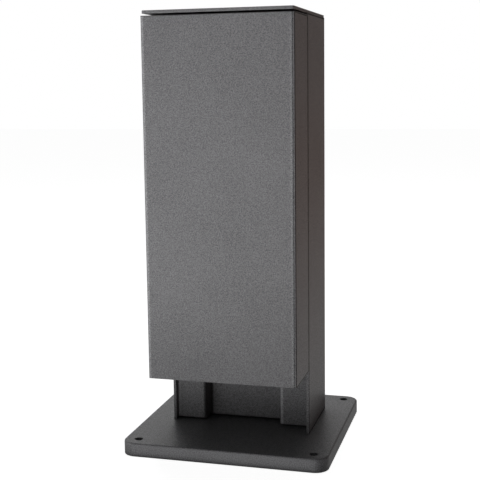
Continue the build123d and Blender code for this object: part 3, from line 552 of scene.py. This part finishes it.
def makeRibs(number, look):
    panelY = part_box(f"socket_lid_{number}")[0].y + look["sunk"]
    foot = socketCentres[number] - look["lidHalf"] + look["rise"]
    flat = look["proud"] / look["width"]
    bars = []
    for row in range(look["count"]):
        path, radii = [], []
        for step in range(look["steps"] + 1):
            share = 2 * step / look["steps"] - 1
            path.append((share * look["half"], panelY, foot + row * look["pitch"]))
            radii.append(look["width"] * max(1 - share ** look["taper"], look["tip"]))
        points, faces = tube(path, radii, look["sides"])
        points = [(x, panelY + (y - panelY) * flat, z) for x, y, z in points]
        bars.append((points, faces))
    points, faces = joined(bars)
    meshPiece(f"lidRibs_{number}", points, faces, "lid_plastic", f"lid_{number}")


# shutters behind the pin holes
shutterSet = {
    "dishFloor": 8.5 * mm,  # where the socket's floor stands in y
    "back": 2.2 * mm,
    "apart": 9.5 * mm,
    "radius": 2.3 * mm,
    "tip": 0.05 * mm,
    "hump": 0.5 * mm,
    "deep": 1.0 * mm,
    "rings": 5,
    "sides": 24,
}


def makeShutters(number, look):
    front = look["dishFloor"] + look["back"]
    middle = socketCentres[number]
    discs = []
    for x in (-look["apart"], look["apart"]):
        path, radii = [], []
        for ring in range(look["rings"] + 1):
            share = ring / look["rings"]
            path.append((x, front - look["hump"] * math.cos(share * math.pi / 2), middle))
            radii.append(max(look["radius"] * share, look["tip"]))
        path.append((x, front + look["deep"], middle))
        radii.append(look["radius"])
        discs.append(tube(path, radii, look["sides"]))
    points, faces = joined(discs)
    meshPiece(f"pinShutters_{number}", points, faces, "socket_plastic", "post")


# weld beads that hold the lugs to the door's left return
beadSet = {
    "radius": 1.1 * mm,
    "ripple": 0.16 * mm,
    "pitch": 1.3 * mm,
    "ends": 1.0 * mm,
    "fromWall": 0.3 * mm,
    "fromSide": 0.2 * mm,
    "tip": 0.45,
    "tipSteps": 5,
    "steps": 60,
    "sides": 14,
}


def makeBead(name, node, look):
    low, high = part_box(node)
    length = high.z - low.z - 2 * look["ends"]
    beads = []
    for y in (low.y + look["fromSide"], high.y - look["fromSide"]):
        path, radii = [], []
        for step in range(look["steps"] + 1):
            z = low.z + look["ends"] + length * step / look["steps"]
            wave = abs(math.sin(math.pi * (z - low.z) / look["pitch"]))
            grown = min(step, look["steps"] - step) / look["tipSteps"]
            grown = min(look["tip"] + (1 - look["tip"]) * grown, 1.0)
            path.append((low.x + look["fromWall"], y, z))
            radii.append((look["radius"] + look["ripple"] * wave) * grown)
        beads.append(tube(path, radii, look["sides"]))
    points, faces = joined(beads)
    meshPiece(name, points, faces, "zinc_steel", "door")


for number in socketCentres:
    makeSpring(number, springSet)
    makeRibs(number, ribSet)
    makeShutters(number, shutterSet)
makeBead("lugBeadLower", "door_lug_lower", beadSet)
makeBead("lugBeadUpper", "door_lug_upper", beadSet)
print("pieces ready")


# white floor, with a dim mirror image that is warmer on the right
floorSet = {
    "size": 14.0,
    "colour": (0.8, 0.8, 0.8),
    "glow": 0.91,
    "sheen": 0.3,
    "sheenSpan": (0.1, 0.7),
    "sheenTint": (0.68, 0.43, 0.34),
}


def makeFloor(look):
    half = look["size"] / 2
    corners = [(-half, -half, 0), (half, -half, 0), (half, half, 0), (-half, half, 0)]
    mesh = bpy.data.meshes.new("studioFloor")
    mesh.from_pydata(corners, [], [(0, 1, 2, 3)])
    floor = bpy.data.objects.new("studioFloor", mesh)
    bpy.context.scene.collection.objects.link(floor)
    material, graph = newGraph("studioFloor")
    matte = graph.add("ShaderNodeBsdfDiffuse")
    matte.inputs["Color"].default_value = (*look["colour"], 1.0)
    seen, mirrored = graph.rays()
    seen = graph.sums("MULTIPLY", seen, look["glow"])
    both = graph.sums("MAXIMUM", seen, graph.sums("MULTIPLY", mirrored, look["sheen"]))
    right = graph.spread(graph.rightward(graph.place), 0.0, 1.0, *look["sheenSpan"])
    warm = graph.sums("MULTIPLY", right, mirrored)
    glow = graph.add("ShaderNodeEmission")
    graph.link(both, glow.inputs["Strength"])
    graph.link(graph.blend(warm, white, look["sheenTint"]), glow.inputs["Color"])
    total = graph.add("ShaderNodeAddShader")
    graph.link(matte.outputs["BSDF"], total.inputs[0])
    graph.link(glow.outputs["Emission"], total.inputs[1])
    graph.link(total.outputs["Shader"], graph.out.inputs["Surface"])
    mesh.materials.append(material)


# the room: white where it is seen, dimmer and warmer on the right in reflections
worldSet = {
    "fill": 0.09,
    "rightSpan": (-0.3, 0.4),
    "rightTint": (0.06, 0.03, 0.02),
}


def makeWorld(look):
    world = bpy.data.worlds.new("studioWorld")
    graph = Graph(world, "ShaderNodeOutputWorld")
    background = graph.add("ShaderNodeBackground")
    seen, mirrored = graph.rays()
    level = graph.spread(graph.sums("MAXIMUM", seen, mirrored), look["fill"], 1.0, 0.0, 1.0)
    graph.link(level, background.inputs["Strength"])
    right = graph.rightward(graph.coords.outputs["Generated"])
    right = graph.spread(right, 0.0, 1.0, *look["rightSpan"])
    share = graph.sums("MULTIPLY", right, mirrored)
    graph.link(graph.blend(share, white, look["rightTint"]), background.inputs["Color"])
    graph.link(background.outputs["Background"], graph.out.inputs["Surface"])
    bpy.context.scene.world = world


# most light comes off the floor: cards just above it shine upward
cardHeight = 0.5 * mm
cardSets = {
    "frontCard": {
        "place": (-1.1, -1.38, cardHeight), "size": (2.4, 2.0),
        "power": 55.0, "tint": white, "mirrored": True,
    },
    "edgeCard": {
        "place": (-0.15, -0.14, cardHeight), "size": (0.5, 0.07),
        "power": 0.11, "tint": white, "mirrored": True,
    },
    "rightCard": {
        "place": (1.25, 0.1, cardHeight), "size": (1.8, 1.8),
        "power": 3.6, "tint": (1.0, 0.58, 0.42), "mirrored": False,
    },
    "backCard": {
        "place": (-0.8, 1.3, cardHeight), "size": (2.0, 1.9),
        "power": 18.0, "tint": white, "mirrored": False,
    },
    "leftCard": {
        "place": (-1.35, 0.35, cardHeight), "size": (1.8, 1.5),
        "power": 8.0, "tint": white, "mirrored": False,
    },
}
topLampSet = {
    "place": (-0.15, 0.35, 2.2), "size": (0.5, 0.5),
    "power": 7.0, "tint": white, "mirrored": True,
    "aim": (0.0, -0.02, 0.22),
}


def makeLamp(name, look):
    data = bpy.data.lights.new(name, "AREA")
    data.shape = "RECTANGLE"
    data.size, data.size_y = look["size"]
    data.energy = look["power"]
    data.color = look["tint"]
    lamp = bpy.data.objects.new(name, data)
    bpy.context.scene.collection.objects.link(lamp)
    lamp.location = look["place"]
    lamp.visible_camera = False
    lamp.visible_glossy = look["mirrored"]
    return lamp


makeFloor(floorSet)
makeWorld(worldSet)
for cardName, cardLook in cardSets.items():
    makeLamp(cardName, cardLook).rotation_euler = (math.pi, 0.0, 0.0)
topLamp = makeLamp("topLamp", topLampSet)
topLamp.rotation_mode = "QUATERNION"
topAim = Vector(topLampSet["aim"]) - topLamp.location
topLamp.rotation_quaternion = topAim.to_track_quat("-Z", "Y")
bpy.context.scene.view_settings.view_transform = "Standard"
print("studio ready")
